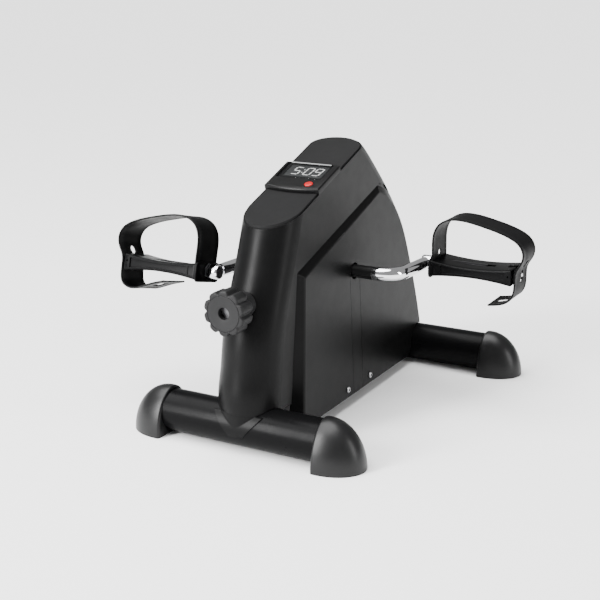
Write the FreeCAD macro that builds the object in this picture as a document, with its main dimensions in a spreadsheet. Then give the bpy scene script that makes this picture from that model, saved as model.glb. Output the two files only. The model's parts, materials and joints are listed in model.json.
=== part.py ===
import FreeCAD, Part
import math
import os
from FreeCAD import Placement, Rotation, Vector

# Pedal exerciser, in millimetres.  +X is the user's left-to-right direction seen
# from behind the machine, -Y faces the user, +Z is up and the floor is Z = 0.
# Parts on the frame are drawn about the point of the floor under the crank axle.
# Parts on the crank are drawn about the axle, and parts on a pedal about its
# spindle.  Placements then put them in the frame of the whole machine.

SIZES = [
    # stabilisers
    ("tube_radius", 24.5, "stabiliser tube outside radius"),
    ("tube_wall", 1.5, "stabiliser tube wall"),
    ("tube_height", 25.3, "tube axis above the floor"),
    ("tube_reach", 185.0, "tube axis to crank axle along Y"),
    ("front_rim", 97.0, "front cap rim to the middle plane"),
    ("rear_rim", 144.0, "rear cap rim to the middle plane"),
    ("cap_half_width", 33.0, "cap half width at the floor"),
    ("cap_height", 54.0, "cap height"),
    ("cap_collar", 6.0, "widest section of a cap to its rim"),
    ("cap_round", 44.0, "length of the cap's rounded end"),
    ("cap_lip", 3.0, "round of the cap's lip"),
    ("cap_grip", 14.0, "tube length held in a cap"),
    # saddles
    ("saddle_radius", 37.4, "saddle radius under the column"),
    ("saddle_flare", 2.2, "radius the saddle gains towards its tip"),
    ("saddle_offset", 13.4, "saddle axis to tube axis"),
    ("saddle_top", 44.55, "top of the saddle"),
    ("saddle_bottom", 19.0, "tip of the saddle"),
    ("saddle_tip", 9.0, "half width of the saddle's tip"),
    # housing
    ("wall", 2.6, "housing wall"),
    ("skirt_height", 14.0, "bottom edge of the side panels"),
    ("panel_low", 48.7, "side panel to the middle plane at the skirt"),
    ("panel_round", 5.0, "round of the side panel's rim"),
    ("groove_width", 2.2, "groove between side panel and column"),
    ("groove_depth", 1.9, "depth of that groove"),
    ("panel_lean", 2.9, "side panel's lean in degrees"),
    ("deck_y", -55.0, "middle of the console along Y"),
    ("deck_z", 281.5, "height of the deck there"),
    ("deck_slope", 19.9, "deck slope in degrees"),
    ("deck_plate", 2.4, "deck plate thickness"),
    ("slot_half", 13.0, "half width of the axle slot"),
    ("axle_hole", 10.2, "radius of the hole round the crank"),
    # crank
    ("axle_height", 165.0, "crank axle above the floor"),
    ("bar_radius", 8.0, "crank bar radius"),
    ("axle_half", 28.0, "half length of the centre axle"),
    ("arm_plane", 95.0, "arm axis to the middle plane"),
    ("arm_bend", 26.0, "bend radius of the arm"),
    ("crank_throw", 96.0, "axle to pedal spindle"),
    ("crank_angle", -2.0, "crank angle at rest in degrees"),
    ("eye_radius", 9.8, "arm eye radius"),
    ("spindle_radius", 6.0, "pedal spindle radius"),
    ("run_gap", 0.06, "radial running clearance"),
    ("fit_gap", 0.05, "gap between parts of one body"),
    # pedals
    ("pedal_inner", 109.0, "pedal body's inner end"),
    ("pedal_outer", 211.0, "pedal body's outer end"),
    ("pedal_depth", 48.0, "pedal body along Y"),
    ("pedal_top", 8.5, "pedal top above the spindle"),
    ("pedal_bottom", 12.0, "pedal bottom below the spindle"),
    ("pedal_waist", 4.0, "hollow of the pedal's top and bottom"),
    ("left_pedal_tilt", -14.0, "left pedal angle at rest in degrees"),
    ("strap_width", 46.0, "foot strap width"),
    ("strap_gauge", 2.2, "foot strap thickness"),
    # resistance
    ("drum_radius", 48.0, "brake drum radius"),
    ("drum_width", 22.0, "brake drum width"),
    ("frame_plate", 3.0, "frame plate thickness"),
    ("bearing_radius", 13.0, "bearing outside radius"),
    ("upright_gap", 19.0, "frame upright to the middle plane"),
    ("screw_radius", 4.0, "tension screw radius"),
    ("knob_front", 228.5, "knob face to crank axle along Y"),
    ("knob_depth", 28.0, "knob thickness"),
    ("knob_radius", 24.2, "knob body radius"),
    ("lobe_radius", 5.4, "knob lobe radius"),
    # console
    ("console_half", 35.0, "console half width"),
    ("console_run", 32.0, "console half length along the deck"),
    ("console_rise", 5.0, "console above the deck"),
    ("button_radius", 5.2, "reset button radius"),
    ("button_x", 18.0, "reset button across the deck"),
    ("button_run", -18.5, "reset button along the deck"),
]

doc = FreeCAD.newDocument("pedal_exerciser")
sheet = doc.addObject("Spreadsheet::Sheet", "dims")
for line, (alias, value, note) in enumerate(SIZES, start=1):
    sheet.set(f"A{line}", note)
    sheet.set(f"B{line}", str(value))
    sheet.setAlias(f"B{line}", alias)
doc.recompute()

nodes = []


def size(alias):
    """The value of one cell of the sheet."""
    return float(sheet.get(alias))


REAR_END = size("tube_reach") + size("cap_half_width")
CENTRE_Y = (size("knob_front") - REAR_END) / 2
FRAME_PLACE = Placement(Vector(0, CENTRE_Y, 0), Rotation())
TILT = Rotation(Vector(1, 0, 0), size("deck_slope"))
DECK_PLACE = Placement(Vector(0, CENTRE_Y + size("deck_y"), size("deck_z")), TILT)
CRANK_TURN = Rotation(Vector(1, 0, 0), size("crank_angle"))
CRANK_PLACE = Placement(Vector(0, CENTRE_Y, size("axle_height")), CRANK_TURN)
ALONG_X = Rotation(Vector(0, 1, 0), 90)
ALONG_Y = Rotation(Vector(1, 0, 0), -90)


def pedal_place(side):
    """Where a pedal's spindle is, and how the pedal is tilted, at rest."""
    centre = CRANK_PLACE.multVec(Vector(0, side * size("crank_throw"), 0))
    tilt = size("left_pedal_tilt") if side < 0 else 0.0
    return Placement(centre, Rotation(Vector(1, 0, 0), tilt))


def bind(item, **formulas):
    """Bind properties to formulas; x, y and z stand for the place."""
    for name, formula in formulas.items():
        if name in ("x", "y", "z"):
            name = f"Placement.Base.{name}"
        item.setExpression(name, formula)
    return item


def solid(kind, turn=None, **formulas):
    """A Part primitive whose sizes and place are bound to formulas."""
    item = doc.addObject(f"Part::{kind}", kind)
    if turn is not None:
        item.Placement = Placement(Vector(), turn)
    return bind(item, **formulas)


def rod(radius, length, turn=None, **formulas):
    """A cylinder along its own axis; turn lays it along X or Y."""
    return solid("Cylinder", turn, Radius=radius, Height=length, **formulas)


def block(width, depth, height, **formulas):
    """A box with its low corner at x, y, z."""
    return solid("Box", Length=width, Width=depth, Height=height, **formulas)


def fuse(*items):
    whole = doc.addObject("Part::MultiFuse", "Fuse")
    whole.Shapes = list(items)
    return whole


def common(first, second):
    whole = doc.addObject("Part::Common", "Common")
    whole.Base = first
    whole.Tool = second
    return whole


def cut(first, *tools):
    """The first item less all the tools."""
    whole = doc.addObject("Part::Cut", "Cut")
    whole.Base = first
    whole.Tool = tools[0] if len(tools) == 1 else fuse(*tools)
    return whole


def group(*items):
    """Separate solids that share one node."""
    whole = doc.addObject("Part::Compound", "Group")
    whole.Links = list(items)
    return whole


def shaped(shape):
    """A feature for a shape that neither sketches nor primitives give."""
    item = doc.addObject("Part::Feature", "Shaped")
    item.Shape = shape
    return item


def keep(node, item, place=FRAME_PLACE):
    """Make an item a sub-part with its own name and place."""
    if item.ExpressionEngine:
        item = group(item)
    item.Label = node
    item.Placement = place.multiply(item.Placement)
    nodes.append(item)
    return item


# ---------------------------------------------------------------- stabilisers

def stabiliser_tube(node, rim, sign):
    """One cross tube, drilled above for its two bolts and below to reach their heads."""
    length = f"2 * (dims.{rim} + dims.cap_grip)"
    start = f"-dims.{rim} - dims.cap_grip"
    reach = f"{sign} * dims.tube_reach"
    spot = {"x": start, "y": reach, "z": "dims.tube_height"}
    outer = rod("dims.tube_radius", length, ALONG_X, **spot)
    inner = rod("dims.tube_radius - dims.tube_wall", length, ALONG_X, **spot)
    drills = []
    for x in ("-16", "16"):
        drills.append(rod("4.2", "80", x=x, y=reach, z="dims.tube_height"))
        drills.append(rod("9", "20", x=x, y=reach, z="-5"))
    return keep(node, cut(outer, inner, *drills))


def foot_cap(node, rim, sign, side):
    """An egg cut off at the floor and at its rim, with a round lip and a bore."""
    reach = f"{sign} * dims.tube_reach"
    egg = solid(
        "Ellipsoid",
        Rotation(Vector(0, 0, 1), 180 if side > 0 else 0),
        Radius1="dims.cap_height",
        Radius2="dims.cap_round",
        Radius3="dims.cap_half_width",
        Angle1="-90",
        Angle2="90",
        Angle3="360",
        x=f"{side} * (dims.{rim} + dims.cap_collar)",
        y=reach,
    )
    inward = block(
        "80",
        "100",
        "80",
        x=f"dims.{rim} - 80" if side > 0 else f"-dims.{rim}",
        y=f"{reach} - 50",
        z="-10",
    )
    below = block("400", "100", "80", x="-200", y=f"{reach} - 50", z="-80")
    dome = cut(egg, inward, below)
    doc.recompute()
    lips = []
    for index, edge in enumerate(dome.Shape.Edges, start=1):
        box = edge.BoundBox
        if box.XLength < 0.01 and box.ZLength > 10 and abs(abs(box.XMin) - size(rim)) < 0.01:
            lips.append((index, size("cap_lip"), size("cap_lip")))
    rounded = doc.addObject("Part::Fillet", "Lip")
    rounded.Base = dome
    rounded.Edges = lips
    bore = rod(
        "dims.tube_radius + dims.fit_gap",
        "dims.cap_grip + 4",
        ALONG_X,
        x=f"dims.{rim} - 4" if side > 0 else f"-dims.{rim} - dims.cap_grip",
        y=reach,
        z="dims.tube_height",
    )
    return keep(node, cut(rounded, bore))


def saddle(node, sign):
    """A rounded V-shaped cover that carries the column's nose down the tube."""
    axis_y = f"{sign} * (dims.tube_reach - dims.saddle_offset)"
    height = "dims.saddle_top - dims.saddle_bottom"
    drum = solid(
        "Cone",
        Radius1="dims.saddle_radius + dims.saddle_flare",
        Radius2="dims.saddle_radius",
        Height=height,
        y=axis_y,
        z="dims.saddle_bottom",
    )
    wedge = solid(
        "Wedge",
        Rotation(Vector(1, 0, 0), 90),
        Xmin="-dims.saddle_tip",
        Xmax="dims.saddle_tip",
        X2min="-dims.saddle_radius - 1",
        X2max="dims.saddle_radius + 1",
        Ymin="0",
        Ymax=height,
        Zmin="-60",
        Zmax="60",
        Z2min="-60",
        Z2max="60",
        y=axis_y,
        z="dims.saddle_bottom",
    )
    tube = rod(
        "dims.tube_radius + dims.fit_gap",
        "200",
        ALONG_X,
        x="-100",
        y=f"{sign} * dims.tube_reach",
        z="dims.tube_height",
    )
    behind = block(
        "200",
        "100",
        "100",
        x="-100",
        y=f"{sign} * (dims.tube_reach - 50) - 50",
        z="0",
    )
    return keep(node, cut(common(drum, wedge), tube, behind))


# ---------------------------------------------------------------- frame

def main_frame():
    """Rail, end plates that sit on the tubes, and the two uprights."""
    rail_half = "dims.tube_reach - dims.tube_radius - 2"
    outer = block("30", f"2 * ({rail_half})", "20", x="-15", y=f"-({rail_half})", z="30")
    inner = block("26", "400", "16", x="-13", y="-200", z="32")
    pieces = [cut(outer, inner)]
    top = "dims.tube_height + dims.tube_radius"
    for sign in (-1, 1):
        edge = f"{sign} * (dims.tube_reach - 13.5) - 18"
        pieces.append(block("48", "36", "dims.frame_plate", x="-24", y=edge, z=top))
        web = f"{sign} * (dims.tube_reach - dims.tube_radius - 5) - 3"
        pieces.append(block("30", "6", f"{top} - 48", x="-15", y=web, z="49"))
    for side in (-1, 1):
        inside = "dims.upright_gap" if side > 0 else "-dims.upright_gap - dims.frame_plate"
        plate = solid(
            "Wedge",
            Rotation(Vector(1, 0, 0), 90),
            Xmin="0",
            Xmax="dims.frame_plate",
            X2min="0",
            X2max="dims.frame_plate",
            Ymin="0",
            Ymax="dims.axle_height - 16",
            Zmin="-60",
            Zmax="60",
            Z2min="-18",
            Z2max="18",
            x=inside,
            z="34",
        )
        foot = "15" if side > 0 else "-dims.upright_gap - dims.frame_plate"
        flange = block(
            "dims.upright_gap + dims.frame_plate - 15",
            "110",
            "dims.frame_plate",
            x=foot,
            y="-55",
            z="34",
        )
        pieces.append(plate)
        pieces.append(flange)
    hole = rod(
        "dims.bearing_radius",
        "80",
        ALONG_X,
        x="-40",
        z="dims.axle_height",
    )
    post = block("40", "dims.frame_plate", "140", x="-20", y="-148", z="49")
    pieces.append(post)
    screw_hole = rod("6", "40", ALONG_Y, y="-170", z="dims.axle_height")
    drills = []
    for sign in (-1, 1):
        for x in (-16, 16):
            reach = f"{sign} * dims.tube_reach"
            drills.append(rod("4.2", "80", x=str(x), y=reach, z="10"))
    return keep("main_frame", cut(fuse(*pieces), hole, screw_hole, *drills))


def stabiliser_bolts():
    """Carriage bolts up through the tubes' top walls, with nuts on the frame plates."""
    bolts = []
    nuts = []
    top = "dims.tube_height + dims.tube_radius + dims.frame_plate"
    for sign in (-1, 1):
        for x in (-16, 16):
            spot = {"x": str(x), "y": f"{sign} * dims.tube_reach"}
            seat = "dims.tube_height + 21.8"
            shank = rod("4", f"{top} + 9 - ({seat}) + 1", z=f"{seat} - 1", **spot)
            head = solid("Cone", Radius1="5", Radius2="7", Height="2.6", z=f"{seat} - 2.6", **spot)
            bolts.append(fuse(shank, head))
            hexagon = solid(
                "Prism",
                Polygon="6",
                Circumradius="7.2",
                Height="6.5",
                z=top,
                **spot,
            )
            hexagon.Polygon = 6
            hexagon.setExpression("Polygon", None)
            nuts.append(cut(hexagon, rod("4.05", "20", z=f"{top} - 5", **spot)))
    keep("stabiliser_bolts", group(*bolts))
    keep("stabiliser_nuts", group(*nuts))


# ---------------------------------------------------------------- housing form

# Height, foremost point and rearmost point of the column's plan, and the radius
# of its rounded ends.
COLUMN = [
    (44.6, -209.0, 209.0, 37.4),
    (85.0, -205.5, 197.0, 36.8),
    (121.0, -200.0, 184.0, 36.2),
    (165.0, -186.5, 170.0, 35.6),
    (200.0, -172.2, 158.0, 35.1),
    (232.0, -160.5, 141.0, 34.8),
    (262.0, -149.6, 112.5, 34.6),
    (290.0, -139.6, 81.0, 34.5),
    (312.0, -131.6, 52.5, 34.5),
    (336.0, -123.2, 21.5, 34.5),
]

# Side panel outline in Y and Z where it leaves the column, and of its flat face.
PANEL_FOOT = [(-155, 14), (-131.5, 191.5), (78, 258.5)]
PANEL_FOOT_BACK = [(119.5, 236), (147.5, 199), (170, 150), (188, 98), (200, 52)]
PANEL_FACE = [(-139, 14), (-122, 185), (74, 248)]
PANEL_FACE_BACK = [(113.5, 227), (141.5, 194), (163, 147), (182, 95), (194, 52)]
PANEL_BACK_FOOT = (150, 14)


def plan_wire(height, front, rear, radius):
    """A plan of the column: straight flanks and round ends."""
    front_axis = front + radius
    rear_axis = rear - radius
    corners = [
        Vector(radius, front_axis, height),
        Vector(radius, rear_axis, height),
        Vector(-radius, rear_axis, height),
        Vector(-radius, front_axis, height),
    ]
    nose = Vector(0, front, height)
    tail = Vector(0, rear, height)
    return Part.Wire([
        Part.makeLine(corners[0], corners[1]),
        Part.Arc(corners[1], tail, corners[2]).toShape(),
        Part.makeLine(corners[2], corners[3]),
        Part.Arc(corners[3], nose, corners[0]).toShape(),
    ])


def column_form(inset):
    """The column's solid, moved inwards by inset and open downwards."""
    plans = []
    for height, front, rear, radius in COLUMN:
        plans.append(plan_wire(height, front + inset, rear - inset, radius - inset))
    body = Part.makeLoft(plans, True, False)
    if inset > 0:
        height, front, rear, radius = COLUMN[0]
        foot = plan_wire(height - 20, front + inset, rear - inset, radius - inset)
        body = body.fuse(Part.Face(foot).extrude(Vector(0, 0, 20)))
    return body


def panel_plane(height):
    """Distance of the panel's flat face from the middle plane."""
    lean = math.tan(math.radians(size("panel_lean")))
    return size("panel_low") - lean * (height - size("skirt_height"))


def panel_wire(points, back, inset, flat):
    """The panel's outline at a constant X, or on its leaning face."""
    shift = [(1, -1), (1, -0.6), (-0.3, -1)]
    spots = []
    for index, (y, z) in enumerate(points + back + [PANEL_BACK_FOOT]):
        if index < 3:
            dy, dz = shift[index]
        elif index < 8:
            dy, dz = (-0.9, -0.4)
        else:
            dy, dz = (-1, -1)
        if z == size("skirt_height"):
            z = z - 6 if inset > 0 else z
            dz = 0
        y = y + dy * inset
        z = z + dz * inset
        x = flat if flat is not None else panel_plane(z) - inset
        spots.append(Vector(x, y, z))
    curve = Part.BSplineCurve()
    curve.interpolate(spots[2:8])
    return Part.Wire([
        Part.makeLine(spots[0], spots[1]),
        Part.makeLine(spots[1], spots[2]),
        curve.toShape(),
        Part.makeLine(spots[7], spots[8]),
        Part.makeLine(spots[8], spots[0]),
    ])


def panel_form(inset):
    """Both raised side panels, down to the skirt, with rounded rims outside."""
    foot_plane = 31.0 - inset
    root = panel_wire(PANEL_FOOT, PANEL_FOOT_BACK, inset, 0.0)
    foot = panel_wire(PANEL_FOOT, PANEL_FOOT_BACK, inset, foot_plane)
    face = panel_wire(PANEL_FACE, PANEL_FACE_BACK, inset, None)
    half = Part.makeLoft([root, foot, face], True, True)
    if inset == 0:
        half = half.makeFillet(size("panel_round"), panel_rims(half))
    return half.fuse(half.mirror(Vector(), Vector(1, 0, 0)))


def panel_rims(half):
    """The edges round the panel's flat face, and the corner up to it."""
    rims = []
    for edge in half.Edges:
        box = edge.BoundBox
        leaning = box.XLength > 1 and box.XMin > 30
        upright = box.YMax < -115 and box.ZMin > 13 and box.ZLength > 3
        sloping = box.YMin < -115 and box.YLength > 150
        rear = box.YMin > 70 and box.YLength > 50 and box.ZLength > 100
        if leaning and (upright or sloping or rear):
            rims.append(edge)
    return rims


def below_deck(drop):
    """A slab under the deck plane, lowered by drop, that bounds the form."""
    slab = Part.makeBox(200, 900, 600, Vector(-100, -450, -600 - drop))
    slab.Placement = Placement(Vector(0, size("deck_y"), size("deck_z")), TILT)
    return slab


def tube_clearance(gap):
    """The room that the cross tubes need in the housing."""
    rods = []
    for sign in (-1, 1):
        spot = Vector(-150, sign * size("tube_reach"), size("tube_height"))
        radius = size("tube_radius") + gap
        rods.append(Part.makeCylinder(radius, 300, spot, Vector(1, 0, 0)))
    return rods


def housing_form(inset, drop):
    """Column and panels together, cut off below the deck."""
    column = column_form(inset)
    if inset == 0:
        margin = panel_form(-size("groove_width"))
        column = column.cut(margin.cut(column_form(size("groove_depth"))))
    return column.fuse(panel_form(inset)).common(below_deck(drop))


def slot_prism(half, top):
    """The band of the flanks that the axle passes when the housing is fitted."""
    bands = []
    for side in (-1, 1):
        x = 22 if side > 0 else -62
        bands.append(Part.makeBox(40, 2 * half, top + 10, Vector(x, -half, -10)))
    return bands[0].fuse(bands[1])


def housing_parts():
    """The housing shell, its deck plate and its two slot covers."""
    wall = size("wall")
    plate = size("deck_plate")
    outer = housing_form(0.0, plate)
    inner = housing_form(wall, plate + wall)
    axle_spot = Vector(-90, 0, size("axle_height"))
    axle_hole = Part.makeCylinder(size("axle_hole"), 180, axle_spot, Vector(1, 0, 0))
    shell = outer.cut(inner).cut(axle_hole)
    for tube in tube_clearance(0.6):
        shell = shell.cut(tube)
    slot_top = size("axle_height")
    covers = shell.common(slot_prism(size("slot_half") - 0.5, slot_top - 0.5))
    shell = shell.cut(slot_prism(size("slot_half"), slot_top))
    ahead = Vector(0, 1, 0)
    shell = shell.cut(Part.makeCylinder(12.1, 40, Vector(0, -205, slot_top), ahead))
    shell = shell.cut(Part.makeCylinder(14.1, 20.55, Vector(0, -205, slot_top), ahead))
    well = Part.makeBox(52, 46, 20, Vector(-26, -23, -15))
    well.Placement = Placement(Vector(0, size("deck_y"), size("deck_z")), TILT)
    shell = shell.cut(well)

    flange_in = housing_form(wall + 0.2, plate + wall + 0.2)
    flange_deep = housing_form(wall + 2.2, plate + wall + 2.2)
    band = Part.makeBox(200, 78, 20, Vector(-100, -39, 17))
    flange = flange_in.cut(flange_deep).common(band)
    bridge = housing_form(wall - 0.3, plate + wall).cut(flange_deep)
    bridge = bridge.common(Part.makeBox(200, 25, 20, Vector(-100, -12.5, 17)))

    screws = []
    for side in (-1, 1):
        for y in (-29, 32):
            reach = panel_plane(24)
            start = Vector(side * (reach - 8.3), y, 24)
            screws.append((side, y, start))
    right_half = Part.makeBox(100, 500, 400, Vector(0, -250, -10))
    left_half = Part.makeBox(100, 500, 400, Vector(-100, -250, -10))
    heads = []
    drills = []
    for side, y, start in screws:
        along = Vector(side, 0, 0)
        drills.append(Part.makeCylinder(2.1, 14, start, along))
        shank = Part.makeCylinder(1.95, 8.6, start, along)
        seat = start + along * 8.6
        head = Part.makeCylinder(3.6, 1.9, seat, along)
        recess = Part.makeCylinder(1.5, 1.2, seat + along * 0.8, along)
        heads.append(shank.fuse(head).cut(recess))
    for drill in drills:
        shell = shell.cut(drill)
    for node, half in (("right_slot_cover", right_half), ("left_slot_cover", left_half)):
        cover = covers.common(half).fuse(flange.common(half)).fuse(bridge.common(half))
        for drill in drills:
            cover = cover.cut(drill)
        keep(node, shaped(cover.removeSplitter()))
    keep("slot_cover_screws", shaped(Part.makeCompound(heads)))
    keep("housing", shaped(shell))

    top = column_form(1.6).common(below_deck(0.0))
    top = top.cut(below_deck(plate - 0.05))
    notch = Part.Face(console_wire(0.35, -12)).extrude(Vector(0, 0, 24))
    notch.Placement = Placement(Vector(0, size("deck_y"), size("deck_z")), TILT)
    plates = sorted(top.cut(notch).Solids, key=lambda piece: piece.CenterOfMass.y)
    keep("front_deck_plate", shaped(plates[0]))
    keep("rear_deck_plate", shaped(plates[-1]))


def console_wire(gap, low):
    """The console's outline on the deck: straight flanks, bowed ends."""
    half = size("console_half") + gap
    run = size("console_run") + gap
    bow = 4.0
    corners = [
        Vector(-half, -run + bow, low),
        Vector(half, -run + bow, low),
        Vector(half, run - bow, low),
        Vector(-half, run - bow, low),
    ]
    return Part.Wire([
        Part.Arc(corners[0], Vector(0, -run, low), corners[1]).toShape(),
        Part.makeLine(corners[1], corners[2]),
        Part.Arc(corners[2], Vector(0, run, low), corners[3]).toShape(),
        Part.makeLine(corners[3], corners[0]),
    ])


# ---------------------------------------------------------------- crank

def crank_arm(node, side):
    """A bent round bar with an eye, drawn pointing along +Y or -Y."""
    straight = "dims.arm_plane - dims.arm_bend - dims.axle_half"
    start = "dims.axle_half" if side > 0 else "-(dims.arm_plane - dims.arm_bend)"
    stub = rod("dims.bar_radius", straight, ALONG_X, x=start)
    bend = solid(
        "Torus",
        Rotation(Vector(0, 0, 1), -90 if side > 0 else 90),
        Radius1="dims.arm_bend",
        Radius2="dims.bar_radius",
        Angle3="90",
        x=f"{side} * (dims.arm_plane - dims.arm_bend)",
        y=f"{side} * dims.arm_bend",
    )
    reach = "dims.crank_throw - dims.arm_bend - 6"
    low = "dims.arm_bend" if side > 0 else "-(dims.crank_throw - 6)"
    bar = rod(
        "dims.bar_radius",
        reach,
        ALONG_Y,
        x=f"{side} * dims.arm_plane",
        y=low,
    )
    eye_start = f"{side} * dims.arm_plane - 6.5"
    throw = f"{side} * dims.crank_throw"
    eye = rod("dims.eye_radius", "13", ALONG_X, x=eye_start, y=throw)
    hole = rod(
        "dims.spindle_radius + dims.fit_gap",
        "30",
        ALONG_X,
        x=f"{eye_start} - 8",
        y=throw,
    )
    return keep(node, cut(fuse(stub, bend, bar, eye), hole), CRANK_PLACE)


def drum_and_axle():
    """The centre axle, the brake drum on it, and the small pieces they carry."""
    span = {"x": "-dims.axle_half"}
    axle = rod("dims.bar_radius", "2 * dims.axle_half", ALONG_X, **span)
    keep("crank_axle", axle, CRANK_PLACE)

    half = "-dims.drum_width / 2"
    disc = rod("dims.drum_radius", "dims.drum_width", ALONG_X, x=half)
    pockets = []
    for side in (-1, 1):
        start = "3" if side > 0 else "-33"
        ring = rod("dims.drum_radius - 6", "30", ALONG_X, x=start)
        hub = rod("15", "40", ALONG_X, x="-20")
        pockets.append(cut(ring, hub))
    bore = rod("dims.bar_radius + dims.fit_gap", "60", ALONG_X, x="-30")
    magnet_seat = rod("4.05", "30", ALONG_X, x="-11", y="33")
    keep("brake_drum", cut(disc, *pockets, bore, magnet_seat), CRANK_PLACE)
    magnet = rod("4", "3.5", ALONG_X, x="-4.5", y="33")
    keep("speed_magnet", magnet, CRANK_PLACE)

    clips = []
    for side in (-1, 1):
        start = "dims.axle_half - 1.8" if side > 0 else "-dims.axle_half + 0.2"
        ring = rod("11.5", "1.6", ALONG_X, x=start)
        bore = rod("dims.bar_radius + dims.fit_gap", "60", ALONG_X, x="-30")
        clips.append(cut(ring, bore))
    keep("axle_clips", group(*clips), CRANK_PLACE)


def bearing(node, side):
    """A flanged bush pressed in a frame upright."""
    start = "dims.upright_gap" if side > 0 else "-dims.upright_gap - 6"
    lip_start = "dims.upright_gap + dims.frame_plate + 0.05"
    if side < 0:
        lip_start = f"-({lip_start}) - 2.5"
    spot = {"z": "dims.axle_height"}
    ring = rod("dims.bearing_radius - dims.fit_gap", "6", ALONG_X, x=start, **spot)
    lip = rod("dims.bearing_radius + 3", "2.5", ALONG_X, x=lip_start, **spot)
    bore = rod("dims.bar_radius + dims.run_gap", "80", ALONG_X, x="-40", **spot)
    return keep(node, cut(fuse(ring, lip), bore))


# ---------------------------------------------------------------- pedals

def pedal_body(node, side):
    """A waisted block with end plates, bored for the spindle."""
    body = doc.addObject("PartDesign::Body", "Pedal")
    plane = [p for p in body.Origin.OriginFeatures if p.Role == "XZ_Plane"][0]
    sketch = body.newObject("Sketcher::SketchObject", "Profile")
    sketch.AttachmentSupport = [(plane, "")]
    sketch.MapMode = "FlatFace"
    inner = size("pedal_inner") - 2
    outer = size("pedal_outer")
    top = size("pedal_top")
    low = -size("pedal_bottom")
    waist = size("pedal_waist")
    middle = (inner + outer) / 2
    corner = [
        Vector(inner, top, 0),
        Vector(outer, top, 0),
        Vector(outer, low, 0),
        Vector(inner, low, 0),
    ]
    crown = Part.Arc(corner[0], Vector(middle, top - waist, 0), corner[1])
    belly = Part.Arc(corner[2], Vector(middle, low + waist, 0), corner[3])
    sketch.addGeometry(crown, False)
    sketch.addGeometry(Part.LineSegment(corner[1], corner[2]), False)
    sketch.addGeometry(belly, False)
    sketch.addGeometry(Part.LineSegment(corner[3], corner[0]), False)
    pad = body.newObject("PartDesign::Pad", "Block")
    pad.Profile = sketch
    pad.Midplane = True
    bind(pad, Length="dims.pedal_depth")
    doc.recompute()
    edges = []
    for index, edge in enumerate(pad.Shape.Edges, start=1):
        box = edge.BoundBox
        if box.YLength < 1 and box.XLength > 50:
            edges.append(f"Edge{index}")
    fillet = body.newObject("PartDesign::Fillet", "Round")
    fillet.Base = (pad, edges)
    fillet.Radius = 2.5
    doc.recompute()
    body.Tip = fillet
    plate = block("3.2", "50", "24", x="dims.pedal_inner - 3.6", y="-25", z="-14")
    bore = rod("dims.spindle_radius + dims.run_gap", "84", ALONG_X, x="100")
    seat = rod("9", "12", ALONG_X, x="dims.pedal_outer - 11")
    slot = block(
        "2.9",
        "dims.strap_width + 1",
        "22",
        x="dims.pedal_inner - 0.3",
        y="-dims.strap_width / 2 - 0.5",
        z="-9.5",
    )
    whole = cut(fuse(body, plate), bore, seat, slot)
    if side < 0:
        mirror = doc.addObject("Part::Mirroring", "Mirror")
        mirror.Source = whole
        mirror.Normal = Vector(1, 0, 0)
        whole = mirror
    return keep(node, whole, pedal_place(side))


def spindle(node, side):
    """The pedal's axle with its hexagon, screwed in the arm's eye."""
    start = "dims.arm_plane - 6.5" if side > 0 else "-dims.arm_plane + 6.5 - 85"
    pin = rod("dims.spindle_radius", "85", ALONG_X, x=start)
    hex_start = "dims.arm_plane + 8.05" if side > 0 else "-dims.arm_plane - 10.1"
    nut = solid(
        "Prism",
        ALONG_X,
        Circumradius="9",
        Height="2.05",
        x=hex_start,
    )
    nut.Polygon = 6
    return keep(node, fuse(pin, nut), spindle_place(side))


def spindle_place(side):
    """A spindle turns with the crank, so it takes the crank's angle."""
    centre = CRANK_PLACE.multVec(Vector(0, side * size("crank_throw"), 0))
    return Placement(centre, CRANK_TURN)


# Foot strap in X and Z about the spindle, on the middle of its thickness.
STRAP_LOOP = [
    (110.2, -8.5),
    (110.1, 8),
    (109.8, 24),
    (110.6, 40),
    (117, 53),
    (130, 60.2),
    (147, 61.2),
    (176, 56),
    (206, 47),
    (219.5, 38),
    (224, 27),
    (221.5, 16),
    (216.5, 7),
    (215, -4),
    (214.8, -17),
    (211.5, -27),
]
RIGHT_TAIL = [(204, -33.5), (193, -37), (183.5, -38.5)]
LEFT_TAIL = [(201, -32), (184, -29), (168, -23), (152, -18.5)]


def foot_strap(node, side):
    """A band of constant width along a smooth path, with its holes."""
    tail = RIGHT_TAIL if side > 0 else LEFT_TAIL
    half = size("strap_gauge") / 2
    path = Part.BSplineCurve()
    path.interpolate([Vector(x, 0, z) for x, z in STRAP_LOOP + tail])
    steps = 90
    outer = []
    inner = []
    for step in range(steps + 1):
        at = path.FirstParameter
        at += (path.LastParameter - path.FirstParameter) * step / steps
        point = path.value(at)
        run = path.tangent(at)[0]
        across = Vector(-run.z, 0, run.x) * half
        outer.append(point + across)
        inner.append(point - across)
    sides = []
    for points in (outer, inner):
        edge = Part.BSplineCurve()
        edge.interpolate(points)
        sides.append(edge)
    outline = Part.Wire([
        sides[0].toShape(),
        Part.makeLine(outer[-1], inner[-1]),
        sides[1].toShape(),
        Part.makeLine(inner[0], outer[0]),
    ])
    width = size("strap_width")
    band = Part.Face(outline).extrude(Vector(0, width, 0))
    band.translate(Vector(0, -width / 2, 0))
    hole = Part.makeCylinder(3.4, 30, Vector(95, 0, 19), Vector(1, 0, 0))
    hole = hole.fuse(Part.makeCylinder(7.2, 30, Vector(95, 0, 0), Vector(1, 0, 0)))
    slot = Part.makeBox(30, 7, 20, Vector(205, -1, -12))
    tail_slot = Part.makeBox(18, 9, 40, Vector(190, -4.5, -50))
    band = band.cut(hole).cut(slot).cut(tail_slot)
    if side < 0:
        band = band.mirror(Vector(), Vector(1, 0, 0))
    return keep(node, shaped(band), pedal_place(side))


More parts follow.
